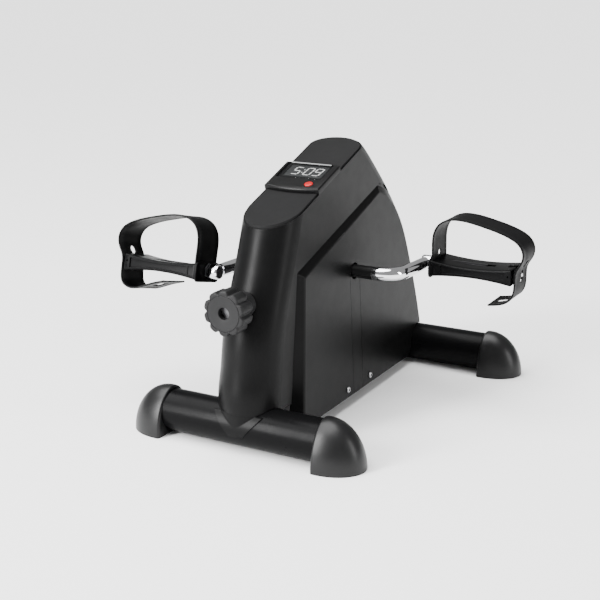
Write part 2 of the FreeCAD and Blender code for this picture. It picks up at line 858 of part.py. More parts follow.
def pedal_fittings(name, side):
    """The strap's peg, its rivet and the cap over the spindle's end."""
    start = "dims.pedal_outer - 7.9" if side > 0 else "-dims.pedal_outer + 7.9 - 14"
    peg = rod("2.6", "14", ALONG_X, x=start, y="2.5", z="-2")
    hole_floor = "dims.pedal_outer - 8" if side > 0 else "-dims.pedal_outer + 4"
    disc = rod("8.9", "4", ALONG_X, x=hole_floor)
    clear = rod("2.65", "40", ALONG_X, x=f"{start} - 10", y="2.5", z="-2")
    keep(f"{name}_strap_peg", peg, pedal_place(side))
    keep(f"{name}_spindle_cap", cut(disc, clear), pedal_place(side))


# ---------------------------------------------------------------- resistance

def tension_parts():
    """Knob, screw, bush, yoke, spring and the brake strap round the drum."""
    height = "dims.axle_height"
    face = "-dims.knob_front"
    body = rod("dims.knob_radius", "dims.knob_depth - 5", ALONG_Y, y=face, z=height)
    back = rod("15", "6", ALONG_Y, y=f"{face} + dims.knob_depth - 6", z=height)
    pieces = [body, back]
    for index in range(10):
        turn = 36 * index
        pieces.append(rod(
            "dims.lobe_radius",
            "dims.knob_depth - 7",
            ALONG_Y,
            x=f"(dims.knob_radius - 3.4) * cos({turn} deg)",
            y=f"{face} + 1",
            z=f"{height} + (dims.knob_radius - 3.4) * sin({turn} deg)",
        ))
    recess = rod("8.2", "12.25", ALONG_Y, y=f"{face} - 1", z=height)
    bore = rod("dims.screw_radius + dims.fit_gap", "60", ALONG_Y, y=face, z=height)
    keep("tension_knob", cut(fuse(*pieces), recess, bore))

    head = rod("7", "3", ALONG_Y, y=f"{face} + 8.2", z=height)
    reach = "dims.knob_front - 90"
    shank = rod("dims.screw_radius", reach, ALONG_Y, y=f"{face} + 8.2", z=height)
    keep("tension_screw", fuse(head, shank))

    flange = rod("14", "15", ALONG_Y, y="-199.5", z=height)
    spigot = rod("11.9", "26", ALONG_Y, y="-199.5", z=height)
    bore = rod("dims.screw_radius + dims.run_gap", "80", ALONG_Y, y="-210", z=height)
    keep("screw_bush", cut(fuse(flange, spigot), bore))

    plate = block("24", "8", "40", x="-12", y="-116", z=f"{height} - 20")
    bore = rod("dims.screw_radius + dims.run_gap", "60", ALONG_Y, y="-140", z=height)
    keep("tension_yoke", cut(plate, bore))


def brake_strap():
    """A felt band round the drum's back, its ends joined by a clip plate."""
    radius = size("drum_radius") + 0.5
    gauge = 2.6
    width = size("drum_width") - 4
    height = size("axle_height")
    ends = -78.0
    clip_half = 17.0
    length = math.hypot(ends, radius - clip_half)
    centre = Vector(0, 0, height)

    def outline(grow):
        """Two tangent runs from the clip to an arc round the drum."""
        reach = radius + grow
        half = clip_half + grow
        lean = math.atan2(reach - half, -ends)
        top = Vector(0, -reach * math.sin(lean), reach * math.cos(lean)) + centre
        low = Vector(0, -reach * math.sin(lean), -reach * math.cos(lean)) + centre
        back = Vector(0, reach, 0) + centre
        run = (-ends - reach * math.sin(lean))
        rise = reach * math.cos(lean) - math.tan(lean) * run
        clip_top = Vector(0, ends, rise) + centre
        clip_low = Vector(0, ends, -rise) + centre
        return clip_top, top, back, low, clip_low

    inner = outline(0.0)
    outer = outline(gauge)
    band = Part.Face(Part.Wire([
        Part.makeLine(inner[0], inner[1]),
        Part.Arc(inner[1], inner[2], inner[3]).toShape(),
        Part.makeLine(inner[3], inner[4]),
        Part.makeLine(inner[4], outer[4]),
        Part.makeLine(outer[4], outer[3]),
        Part.Arc(outer[3], outer[2], outer[1]).toShape(),
        Part.makeLine(outer[1], outer[0]),
        Part.makeLine(outer[0], inner[0]),
    ])).extrude(Vector(width, 0, 0))
    band.translate(Vector(-width / 2, 0, 0))
    keep("brake_strap", shaped(band))

    clip_height = 2 * (outer[0].z - height)
    clip = Part.makeBox(
        width,
        3,
        clip_height,
        Vector(-width / 2, ends - 3.05, height - clip_height / 2),
    )
    bore = Part.makeCylinder(5, 20, Vector(0, ends - 10, height), Vector(0, 1, 0))
    keep("strap_clip", shaped(clip.cut(bore)))
    return length


def tension_spring():
    """A compression coil between the strap clip and the yoke's stop."""
    pitch = 4.2
    coils = 4
    radius = 8.0
    wire = 1.4
    spots = []
    for step in range(24 * coils + 1):
        angle = math.pi * step / 12
        across = Vector(radius * math.cos(angle), radius * math.sin(angle), 0)
        spots.append(across + Vector(0, 0, pitch * step / 24))
    path = Part.BSplineCurve()
    path.interpolate(spots)
    ahead = path.tangent(path.FirstParameter)[0]
    ring = Part.Wire(Part.makeCircle(wire, spots[0], ahead))
    coil = Part.Wire(path.toShape()).makePipeShell([ring], True, True)
    rear = -81.1 - wire - pitch * coils
    coil.Placement = Placement(Vector(0, rear, size("axle_height")), ALONG_Y)
    keep("tension_spring", shaped(coil))


# ---------------------------------------------------------------- console

def console_parts():
    """The clip-in computer: bezel, window, screen, board, back and button."""
    rise = "dims.console_rise"
    form = Part.Face(console_wire(0.0, -2.2)).extrude(Vector(0, 0, size("console_rise") + 2.2))
    rim = [e for e in form.Edges if e.BoundBox.ZMin > size("console_rise") - 0.1]
    shell = shaped(form.makeFillet(1.5, rim))
    window = block("57", "35", "20", x="-30", y="-7", z="-6")
    hollow = block("62", "54", "6", x="-31", y="-24", z=f"{rise} - 8.4")
    hole = rod(
        "dims.button_radius + 0.3",
        "20",
        x="dims.button_x",
        y="dims.button_run",
        z="-6",
    )
    keep("console_bezel", cut(shell, window, hollow, hole), DECK_PLACE)

    pane = block("56.6", "34.6", "1.2", x="-29.8", y="-6.8", z=f"{rise} - 1.9")
    keep("display_window", pane, DECK_PLACE)
    screen = block("50", "27", "1.6", x="-26.5", y="-3", z=f"{rise} - 3.7")
    keep("display_screen", screen, DECK_PLACE)
    board = block("58", "50", "1.4", x="-29", y="-22", z="-0.4")
    pin_hole = rod("1.2", "10", x="dims.button_x", y="dims.button_run", z="-3")
    keep("circuit_board", cut(board, pin_hole), DECK_PLACE)

    cup = block("50", "44", "11", x="-25", y="-22", z="-13.2")
    inside = block("46", "40", "10", x="-23", y="-20", z="-10.8")
    keep("console_back", cut(cup, inside), DECK_PLACE)
    cell = rod("10", "3.2", x="-8", z="-6.5")
    keep("button_cell", cell, DECK_PLACE)

    cap = rod("dims.button_radius", "3.6", x="dims.button_x", y="dims.button_run", z=f"{rise} - 2.6")
    keep("reset_button", cap, DECK_PLACE)


def sensor_parts():
    """The reed switch beside the drum, and its lead to the console."""
    sensor = block("6", "14", "9", x="-18.95", y="-7", z="dims.axle_height - 37.5")
    keep("reed_switch", sensor)
    radius = 1.2
    height = size("axle_height") - 33
    start = Vector(-16, 7.05, height)
    corner = Vector(-16, 42, height)
    bend_one = Vector(-16, 42, 228)
    deck = Placement(Vector(0, size("deck_y"), size("deck_z")), TILT)
    end = deck.multVec(Vector(-8, 12, -13.6))
    bend_two = Vector(end.x, end.y + 14 * math.sin(math.radians(19.9)), 252)
    route = [start, corner, bend_one, bend_two, end]
    edges = []
    last = route[0]
    for index in (1, 2, 3):
        corner = route[index]
        before = (route[index - 1] - corner).normalize()
        after = (route[index + 1] - corner).normalize()
        turn = math.pi - before.getAngle(after)
        legs = [
            corner.distanceToPoint(route[index - 1]),
            corner.distanceToPoint(route[index + 1]),
        ]
        reach = min(20.0, 0.45 * min(legs))
        bend = reach / math.tan(turn / 2)
        first = corner + before * reach
        second = corner + after * reach
        half = (before + after).normalize()
        centre = corner + half * math.hypot(reach, bend)
        middle = centre - half * bend
        edges.append(Part.makeLine(last, first))
        edges.append(Part.Arc(first, middle, second).toShape())
        last = second
    edges.append(Part.makeLine(last, end))
    spine = Part.Wire(edges)
    ring = Part.Wire(Part.makeCircle(radius, start, Vector(0, 1, 0)))
    lead = spine.makePipeShell([ring], True, False)
    keep("sensor_lead", shaped(lead))
    return lead.Volume, math.pi * radius**2 * spine.Length


# ---------------------------------------------------------------- assembly

def build():
    for end, rim, sign in (("front", "front_rim", -1), ("rear", "rear_rim", 1)):
        stabiliser_tube(f"{end}_stabiliser_tube", rim, sign)
        saddle(f"{end}_saddle", sign)
        for name, side in (("left", -1), ("right", 1)):
            foot_cap(f"{end}_{name}_foot_cap", rim, sign, side)
    main_frame()
    stabiliser_bolts()
    housing_parts()
    drum_and_axle()
    tension_parts()
    brake_strap()
    tension_spring()
    console_parts()
    lead = sensor_parts()
    for name, side in (("left", -1), ("right", 1)):
        bearing(f"{name}_bearing", side)
        crank_arm(f"{name}_crank_arm", side)
        pedal_body(f"{name}_pedal_body", side)
        spindle(f"{name}_pedal_spindle", side)
        foot_strap(f"{name}_foot_strap", side)
        pedal_fittings(name, side)


def write_parts():
    """Check every object, then write one STEP file for each sub-part."""
    doc.recompute()
    for item in doc.Objects:
        if "Invalid" in item.State or "Error" in item.State:
            raise RuntimeError(f"{item.Name} failed: {item.State}")
    for item in nodes:
        if item.Shape.isNull() or not item.Shape.isValid():
            raise RuntimeError(f"{item.Label} has no valid shape")
    os.makedirs("parts", exist_ok=True)
    for item in nodes:
        item.Shape.exportStep(f"parts/{item.Label}.step")
    print(len(nodes), "sub-parts written")


build()
write_parts()
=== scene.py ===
import json
import math

import bmesh
import bpy
import numpy as np
from mathutils import Matrix, Vector


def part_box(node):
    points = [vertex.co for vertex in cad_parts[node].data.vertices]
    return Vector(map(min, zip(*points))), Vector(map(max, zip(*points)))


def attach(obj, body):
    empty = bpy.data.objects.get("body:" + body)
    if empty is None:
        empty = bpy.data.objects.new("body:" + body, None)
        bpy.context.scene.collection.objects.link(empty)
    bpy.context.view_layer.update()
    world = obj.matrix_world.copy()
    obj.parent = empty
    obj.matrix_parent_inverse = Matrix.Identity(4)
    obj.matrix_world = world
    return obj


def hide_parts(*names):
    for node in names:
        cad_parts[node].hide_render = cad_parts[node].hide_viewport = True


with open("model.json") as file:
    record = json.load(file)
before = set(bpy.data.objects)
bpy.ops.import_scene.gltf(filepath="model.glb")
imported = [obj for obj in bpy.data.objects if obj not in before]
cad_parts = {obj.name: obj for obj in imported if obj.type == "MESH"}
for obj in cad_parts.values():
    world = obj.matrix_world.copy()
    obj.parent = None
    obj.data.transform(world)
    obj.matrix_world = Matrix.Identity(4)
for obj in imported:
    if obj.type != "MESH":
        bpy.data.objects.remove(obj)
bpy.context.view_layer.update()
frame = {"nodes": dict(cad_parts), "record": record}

RECORD = frame["record"]
JOINTS = {joint["name"]: joint for joint in RECORD["behaviour"]["joints"]}
SLOT_OF = {item["node"]: item["material_slot"] for item in RECORD["subparts"]}
BODY_OF = {}
for body_name, body_nodes in RECORD["behaviour"]["bodies"].items():
    for body_node in body_nodes:
        BODY_OF[body_node] = body_name

# ------------------------------------------------------------------ camera

CRANK = Vector(JOINTS["crank_spin"]["pos_m"])
CENTRE_Y = CRANK.y
CRANK_ANGLE = math.radians(-2.0)
LEFT_TILT = math.radians(-14.0)


def make_camera():
    data = bpy.data.cameras.new("camera")
    data.lens = 68.95
    data.sensor_width = 36.0
    camera = bpy.data.objects.new("camera", data)
    camera.location = (0.6277, -1.1986 + CENTRE_Y, 0.5132)
    camera.rotation_euler = (math.radians(73.9), 0.0, math.radians(28.9))
    bpy.context.scene.collection.objects.link(camera)
    bpy.context.scene.camera = camera


make_camera()

# ------------------------------------------------------------------ materials

GREY_WEAR = (0.09, 0.09, 0.09)
DUST_EDGE = (0.06, 0.06, 0.06)


class Nodes:
    """A short hand for building one material's node tree."""

    def __init__(self, name):
        self.material = bpy.data.materials.new(name)
        self.material.use_nodes = True
        self.tree = self.material.node_tree
        self.shader = self.tree.nodes["Principled BSDF"]
        self.place = self.add("TexCoord").outputs["Object"]

    def add(self, kind, **values):
        node = self.tree.nodes.new("ShaderNode" + kind)
        for key, value in values.items():
            setattr(node, key, value)
        return node

    def join(self, output, entry):
        self.tree.links.new(output, entry)

    def set(self, name, value):
        self.shader.inputs[name].default_value = value

    def noise(self, size, detail=2.0, stretch=(1, 1, 1), roughness=0.5):
        """Noise with features of about size metres, from 0 to 1."""
        mapping = self.add("Mapping")
        mapping.inputs["Scale"].default_value = stretch
        self.join(self.place, mapping.inputs["Vector"])
        node = self.add("TexNoise")
        node.inputs["Scale"].default_value = 1 / size
        node.inputs["Detail"].default_value = detail
        node.inputs["Roughness"].default_value = roughness
        self.join(mapping.outputs["Vector"], node.inputs["Vector"])
        return node.outputs["Fac"]

    def remap(self, value, low, high, to_low, to_high):
        node = self.add("MapRange")
        node.inputs["From Min"].default_value = low
        node.inputs["From Max"].default_value = high
        node.inputs["To Min"].default_value = to_low
        node.inputs["To Max"].default_value = to_high
        self.join(value, node.inputs["Value"])
        return node.outputs["Result"]

    def mix(self, factor, first, second):
        node = self.add("Mix", data_type="RGBA")
        self.join(factor, node.inputs["Factor"])
        for entry, value in ((6, first), (7, second)):
            if isinstance(value, tuple):
                node.inputs[entry].default_value = (*value, 1)
            else:
                self.join(value, node.inputs[entry])
        return node.outputs[2]

    def times(self, first, second):
        node = self.add("Math", operation="MULTIPLY")
        self.join(first, node.inputs[0])
        self.join(second, node.inputs[1])
        return node.outputs[0]

    def bump(self, height, strength, distance, under=None):
        node = self.add("Bump")
        node.inputs["Strength"].default_value = strength
        node.inputs["Distance"].default_value = distance
        self.join(height, node.inputs["Height"])
        if under is not None:
            self.join(under, node.inputs["Normal"])
        return node.outputs["Normal"]

    def edges(self, amount):
        """How worn an edge is: 1 on sharp convex edges, broken up by noise."""
        shape = self.add("NewGeometry").outputs["Pointiness"]
        ridge = self.remap(shape, 0.53, 0.62, 0.0, amount)
        rubbed = self.remap(self.noise(0.004, 3.0), 0.42, 0.62, 0.2, 1.0)
        return self.times(ridge, rubbed)


def moulded(name, color, roughness, grain, depth, level=0.3, wear=0.0):
    """Moulded plastic: fine spark grain, faint flow clouds, and rubbed edges if worn."""
    make = Nodes(name)
    clouds = make.noise(0.035, 3.0)
    lighter = tuple(min(1.0, channel * 1.18) for channel in color)
    base = make.mix(make.remap(clouds, 0.3, 0.7, 0.0, 1.0), color, lighter)
    if wear > 0:
        base = make.mix(make.edges(wear), base, GREY_WEAR)
    make.join(base, make.shader.inputs["Base Color"])
    smudge = make.noise(0.018, 4.0, roughness=0.6)
    rough = make.remap(smudge, 0.3, 0.7, roughness - 0.03, roughness + 0.03)
    make.join(rough, make.shader.inputs["Roughness"])
    fine = make.noise(grain, 2.0)
    waves = make.noise(0.02, 1.0)
    broad = make.bump(waves, 0.12, 0.0004)
    make.join(make.bump(fine, depth, grain * 0.35, broad), make.shader.inputs["Normal"])
    make.set("Specular IOR Level", level)
    return make.material


def metal(name, color, dark, roughness, spread, grain=0.0012, stretch=(1, 1, 1), depth=0.1):
    """Bare or plated metal: directional grain, dull patches and a little tarnish."""
    make = Nodes(name)
    patches = make.noise(0.012, 4.0, roughness=0.65)
    base = make.mix(make.remap(patches, 0.45, 0.75, 0.0, 0.5), color, dark)
    make.join(base, make.shader.inputs["Base Color"])
    rough = make.remap(patches, 0.3, 0.7, roughness, roughness + spread)
    make.join(rough, make.shader.inputs["Roughness"])
    lines = make.noise(grain, 3.0, stretch)
    make.join(make.bump(lines, depth, grain * 0.15), make.shader.inputs["Normal"])
    make.set("Metallic", 1.0)
    return make.material


def powder_coat(name, color, roughness):
    """Powder coat: orange peel under a satin film, and a fine sparkle."""
    make = Nodes(name)
    speck = make.noise(0.0009, 2.0)
    lighter = tuple(channel * 1.6 for channel in color)
    base = make.mix(make.remap(speck, 0.5, 0.75, 0.0, 0.7), color, lighter)
    make.join(base, make.shader.inputs["Base Color"])
    cloud = make.noise(0.03, 3.0)
    rough = make.remap(cloud, 0.3, 0.7, roughness - 0.04, roughness + 0.06)
    make.join(rough, make.shader.inputs["Roughness"])
    peel = make.bump(make.noise(0.0022, 1.0), 0.16, 0.0003)
    make.join(make.bump(speck, 0.08, 0.0002, peel), make.shader.inputs["Normal"])
    make.set("Specular IOR Level", 0.045)
    return make.material


def rubber(name, color, roughness):
    """Soft PVC: cross weave in relief, dusty lighter patches, a dull sheen."""
    make = Nodes(name)
    dust = make.noise(0.01, 4.0, roughness=0.6)
    lighter = tuple(channel * 2.0 for channel in color)
    base = make.mix(make.remap(dust, 0.45, 0.8, 0.0, 0.8), color, lighter)
    base = make.mix(make.edges(0.35), base, DUST_EDGE)
    make.join(base, make.shader.inputs["Base Color"])
    make.join(make.remap(dust, 0.3, 0.7, roughness - 0.05, roughness + 0.08),
              make.shader.inputs["Roughness"])
    wave = make.add("TexWave", wave_type="BANDS", bands_direction="Y")
    wave.inputs["Scale"].default_value = 320.0
    wave.inputs["Distortion"].default_value = 0.4
    make.join(make.place, wave.inputs["Vector"])
    ribs = make.bump(wave.outputs["Fac"], 0.07, 0.0002)
    make.join(make.bump(make.noise(0.0007, 2.0), 0.16, 0.0002, ribs),
              make.shader.inputs["Normal"])
    make.set("Specular IOR Level", 0.03)
    return make.material


def felt(name, color):
    """Wool felt: matted fibres with soft sheen."""
    make = Nodes(name)
    fibres = make.noise(0.0011, 5.0, (1, 4, 1), 0.7)
    darker = tuple(channel * 0.55 for channel in color)
    base = make.mix(make.remap(fibres, 0.3, 0.7, 0.0, 1.0), darker, color)
    make.join(base, make.shader.inputs["Base Color"])
    make.join(make.bump(fibres, 0.6, 0.0006), make.shader.inputs["Normal"])
    make.set("Roughness", 0.95)
    make.set("Sheen Weight", 0.4)
    return make.material


def glossy(name, color, roughness, level=0.5):
    """Polished plastic: faint swirl scratches and slight haze."""
    make = Nodes(name)
    haze = make.noise(0.006, 4.0, roughness=0.6)
    lighter = tuple(min(1.0, channel * 1.25) for channel in color)
    make.join(make.mix(make.remap(haze, 0.35, 0.75, 0.0, 1.0), color, lighter),
              make.shader.inputs["Base Color"])
    make.join(make.remap(haze, 0.3, 0.7, roughness, roughness + 0.08),
              make.shader.inputs["Roughness"])
    scratches = make.noise(0.0009, 2.0, (6, 1, 1))
    make.join(make.bump(scratches, 0.04, 0.0001), make.shader.inputs["Normal"])
    make.set("Specular IOR Level", level)
    return make.material


def window_pane(name):
    """Tinted acrylic with a little haze and fine scratches."""
    make = Nodes(name)
    haze = make.noise(0.008, 4.0, roughness=0.6)
    make.join(make.remap(haze, 0.35, 0.8, 0.02, 0.1), make.shader.inputs["Roughness"])
    scratches = make.noise(0.0008, 2.0, (8, 1, 1))
    make.join(make.bump(scratches, 0.03, 0.0001), make.shader.inputs["Normal"])
    make.set("Base Color", (0.01, 0.011, 0.011, 1))
    make.set("Alpha", 0.16)
    make.set("Specular IOR Level", 0.1)
    return make.material


def circuit(name):
    """Solder mask with paler tracks under it."""
    make = Nodes(name)
    tracks = make.add("TexBrick")
    tracks.inputs["Scale"].default_value = 160.0
    tracks.inputs["Mortar Size"].default_value = 0.06
    tracks.inputs["Color1"].default_value = (0.012, 0.10, 0.035, 1)
    tracks.inputs["Color2"].default_value = (0.016, 0.13, 0.045, 1)
    tracks.inputs["Mortar"].default_value = (0.05, 0.24, 0.08, 1)
    make.join(make.place, tracks.inputs["Vector"])
    make.join(tracks.outputs["Color"], make.shader.inputs["Base Color"])
    make.join(make.bump(tracks.outputs["Fac"], 0.3, 0.0002), make.shader.inputs["Normal"])
    make.join(make.remap(make.noise(0.004, 3.0), 0.3, 0.7, 0.25, 0.42),
              make.shader.inputs["Roughness"])
    return make.material


MATERIALS = {
    "tube_coat": powder_coat("tube_coat", (0.003, 0.003, 0.0032), 0.3),
    "cap_plastic": moulded("cap_plastic", (0.005, 0.005, 0.0052), 0.36, 0.0006, 0.08, 0.26),
    "housing_plastic": moulded(
        "housing_plastic", (0.003, 0.003, 0.0031), 0.36, 0.0005, 0.1, 0.08),
    "deck_plastic": moulded(
        "deck_plastic", (0.0085, 0.0085, 0.0087), 0.6, 0.00045, 0.2, 0.06),
    "console_plastic": moulded(
        "console_plastic", (0.003, 0.003, 0.0031), 0.32, 0.0005, 0.1, 0.12),
    "frame_steel": powder_coat("frame_steel", (0.02, 0.02, 0.022), 0.42),
    "zinc_steel": metal("zinc_steel", (0.62, 0.62, 0.63), (0.34, 0.34, 0.33), 0.22, 0.2),
    "crank_chrome": metal(
        "crank_chrome", (0.80, 0.80, 0.82), (0.62, 0.62, 0.64), 0.035, 0.05, 0.006, depth=0.02),
    "spindle_steel": metal(
        "spindle_steel", (0.42, 0.42, 0.43), (0.22, 0.22, 0.22), 0.25, 0.2, 0.0006, (8, 1, 1)),
    "drum_iron": metal(
        "drum_iron", (0.30, 0.30, 0.31), (0.14, 0.12, 0.11), 0.4, 0.25, 0.0015, (6, 1, 1), 0.25),
    "bush_nylon": moulded("bush_nylon", (0.62, 0.60, 0.54), 0.42, 0.0008, 0.1, 0.4),
    "felt": felt("felt", (0.20, 0.18, 0.15)),
    "knob_plastic": moulded(
        "knob_plastic", (0.008, 0.008, 0.0083), 0.48, 0.0005, 0.15, 0.17),
    "pedal_plastic": moulded(
        "pedal_plastic", (0.003, 0.003, 0.0032), 0.3, 0.0006, 0.06, 0.05),
    "strap_rubber": rubber("strap_rubber", (0.0035, 0.0035, 0.0037), 0.42),
    "window_clear": window_pane("window_clear"),
    "screen_grey": glossy("screen_grey", (0.034, 0.035, 0.036), 0.35, 0.1),
    "button_red": glossy("button_red", (0.30, 0.003, 0.004), 0.25, 0.22),
    "board_green": circuit("board_green"),
    "lead_black": rubber("lead_black", (0.012, 0.012, 0.012), 0.4),
}
# black plastic painted on the crank's inner leg: a painted reflection of the dark housing, not a
# sleeve
PAINTED_DARK_REFLECTION = moulded("crank_painted_reflection", (0.005, 0.005, 0.0052), 0.36, 0.0006, 0.1, 0.28)
DIGIT = glossy("display_digit", (0.62, 0.63, 0.62), 0.4)
# pale grey for the strip at the window's far edge: a painted glint, not a part
PAINTED_GLINT = glossy("painted_window_glint", (0.19, 0.195, 0.195), 0.3, 0.3)
# near black for the hollows in the screw heads: painted shade where the recess lies in shadow
PAINTED_RECESS_SHADE = moulded("painted_recess_shade", (0.01, 0.01, 0.01), 0.5, 0.0006, 0.1, wear=0.5)
CHROME_DARK = metal(
    "blackened_steel", (0.10, 0.10, 0.105), (0.05, 0.05, 0.05), 0.3, 0.15, 0.0008, (6, 1, 1))

for node, item in frame["nodes"].items():
    item.data.materials.clear()
    item.data.materials.append(MATERIALS[SLOT_OF[node]])

# ------------------------------------------------------------------ mesh helpers


def new_object(name, points, faces, place=Matrix(), materials=(), marks=None, sharp=32):
    """An object from points in millimetres, put in the row frame by place."""
    mesh = bpy.data.meshes.new(name)
    mesh.from_pydata([tuple(place @ (Vector(p) * 0.001)) for p in points], [], faces)
    for material in materials:
        mesh.materials.append(material)
    if marks is not None:
        mesh.polygons.foreach_set("material_index", marks)
    work = bmesh.new()
    work.from_mesh(mesh)
    bmesh.ops.remove_doubles(work, verts=work.verts, dist=1e-7)
    bmesh.ops.recalc_face_normals(work, faces=work.faces)
    work.to_mesh(mesh)
    work.free()
    mesh.shade_smooth()
    mesh.set_sharp_from_angle(angle=math.radians(sharp))
    item = bpy.data.objects.new(name, mesh)
    bpy.context.scene.collection.objects.link(item)
    return item


def skin(rings, caps=True):
    """Points and faces of a skin over rings with equal numbers of points."""
    points = [tuple(p) for ring in rings for p in ring]
    count = len(rings[0])
    faces = []
    for level in range(len(rings) - 1):
        for step in range(count):
            first = level * count + step
            second = level * count + (step + 1) % count
            faces.append((first, second, second + count, first + count))
    if caps:
        faces.append(tuple(range(count))[::-1])
        faces.append(tuple(range(len(points) - count, len(points))))
    return points, faces


def lathe(profile, turns=72):
    """Rings about +X for a profile of (distance along, radius) pairs."""
    rings = []
    for along, radius in profile:
        radius = max(radius, 0.01)
        rings.append([(along, y, z) for y, z in circle(radius, turns)])
    return skin(rings)


def rounded_box(half_width, half_height, radius, steps=6):
    """A rectangle with round corners, as pairs, counter-clockwise."""
    out = []
    for quarter in range(4):
        across = 1 if quarter in (0, 3) else -1
        up = 1 if quarter < 2 else -1
        for step in range(steps + 1):
            angle = math.pi / 2 * (quarter + step / steps)
            out.append((
                across * (half_width - radius) + radius * math.cos(angle),
                up * (half_height - radius) + radius * math.sin(angle),
            ))
    return out


def circle(radius, turns):
    """A circle as pairs, counter-clockwise."""
    return [(radius * math.cos(a), radius * math.sin(a))
            for a in np.linspace(0, 2 * math.pi, turns, endpoint=False)]


def shifted(outline, spot, z):
    """An outline moved to a spot, at one height."""
    return [(x + spot[0], y + spot[1], z) for x, y in outline]


def smooth_path(knots, count):
    """A natural cubic spline through the knots, at count even parameters."""
    knots = np.array(knots, float)
    reach = np.linalg.norm(np.diff(knots, axis=0), axis=1)
    at = np.concatenate([[0], np.cumsum(reach)])
    size = len(knots)
    matrix = np.zeros((size, size))
    right = np.zeros_like(knots)
    matrix[0, 0] = matrix[-1, -1] = 1
    for row in range(1, size - 1):
        before = at[row] - at[row - 1]
        after = at[row + 1] - at[row]
        matrix[row, row - 1:row + 2] = before, 2 * (before + after), after
        rise = (knots[row + 1] - knots[row]) / after - (knots[row] - knots[row - 1]) / before
        right[row] = 6 * rise
    bend = np.linalg.solve(matrix, right)
    out = []
    for t in np.linspace(0, at[-1], count):
        row = min(max(int(np.searchsorted(at, t)) - 1, 0), size - 2)
        step = at[row + 1] - at[row]
        a = (at[row + 1] - t) / step
        b = (t - at[row]) / step
        value = a * knots[row] + b * knots[row + 1]
        value += ((a**3 - a) * bend[row] + (b**3 - b) * bend[row + 1]) * step**2 / 6
        out.append(value)
    return np.array(out)


def carve(item, cutters):
    """Cut the cutters out of the item for good."""
    for cutter in cutters:
        modifier = item.modifiers.new("cut", "BOOLEAN")
        modifier.object = cutter
        modifier.operation = "DIFFERENCE"
        modifier.solver = "EXACT"
    bpy.context.view_layer.update()
    graph = bpy.context.evaluated_depsgraph_get()
    mesh = bpy.data.meshes.new_from_object(item.evaluated_get(graph))
    item.modifiers.clear()
    item.data = mesh
    for cutter in cutters:
        old = cutter.data
        bpy.data.objects.remove(cutter)
        bpy.data.meshes.remove(old)
    mesh.shade_smooth()
    mesh.set_sharp_from_angle(angle=math.radians(32))
    return item


def soften(item, width, steps=3, angle=35):
    """Break the edges with a small round."""
    modifier = item.modifiers.new("soften", "BEVEL")
    modifier.width = width * 0.001
    modifier.segments = steps
    modifier.limit_method = "ANGLE"
    modifier.angle_limit = math.radians(angle)
    modifier.harden_normals = True
    return item


def rod_cutter(place, start, end, radius, turns=40):
    """A cylinder between two points in millimetres, for cutting."""
    axis = Vector(end) - Vector(start)
    points, faces = lathe([(0, radius), (axis.length, radius)], turns)
    turn = axis.to_track_quat("X", "Z").to_matrix().to_4x4()
    foot = Matrix.Translation(Vector(start) * 0.001)
    return new_object("cutter", points, faces, place @ foot @ turn)


def box_cutter(place, low, high, radius=0.8, axis=0):
    """A block with four round edges along one axis, for cutting."""
    other = [i for i in range(3) if i != axis]
    middle = [(low[i] + high[i]) / 2 for i in range(3)]
    half = [(high[i] - low[i]) / 2 for i in range(3)]
    wide, tall = half[other[0]], half[other[1]]
    outline = rounded_box(wide, tall, min(radius, wide, tall))
    rings = []
    for end in (low[axis], high[axis]):
        ring = []
        for a, b in outline:
            spot = [0, 0, 0]
            spot[axis] = end
            spot[other[0]] = middle[other[0]] + a
            spot[other[1]] = middle[other[1]] + b
            ring.append(tuple(spot))
        rings.append(ring)
    points, faces = skin(rings)
    return new_object("cutter", points, faces, place)


def install(item, node, *others):
    """Put the piece on its body in place of the CAD nodes it stands for."""
    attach(item, BODY_OF[node])
    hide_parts(node, *others)
    return item


def pedal_place(side):
    """The pedal's own frame: its spindle's axis, tilted as it hangs."""
    name = "left_pedal_spin" if side < 0 else "right_pedal_spin"
    x, y, z = JOINTS[name]["pos_m"]
    tilt = LEFT_TILT if side < 0 else 0.0
    return Matrix.Translation((0, y, z)) @ Matrix.Rotation(tilt, 4, "X")


def crank_place():
    """The crank's own frame: the axle's middle, turned to where the crank rests."""
    return Matrix.Translation(CRANK) @ Matrix.Rotation(CRANK_ANGLE, 4, "X")


# ------------------------------------------------------------------ pedals

STRAP = [
    (110.2, -8.5), (110.1, 8), (109.8, 24), (110.6, 40), (117, 53), (130, 60.2), (147, 61.2),
    (176, 56), (206, 47), (219.5, 38), (224, 27), (221.5, 16), (216.5, 7), (215, -4),
    (214.8, -17), (211.5, -27),
]
TAILS = {
    1: [(204, -33.5), (193, -37), (183.5, -38.5)],
    -1: [(201, -32), (184, -29), (168, -23), (152, -18.5)],
}


def strap_section():
    """Across the strap: flat faces between two beads, with round edges."""
    half = 22.9
    face = [(-half, 0.0), (-half + 0.35, 0.75), (-half + 1.1, 1.06), (-half + 2.4, 1.06),
            (-half + 3.2, 0.82)]
    outer = face + [(y, 0.82) for y in (-12, -6, 0, 6, 12)] + [(-y, t) for y, t in face[::-1]]
    inner = [(y, -t) for y, t in outer[1:-1]][::-1]
    return outer + inner


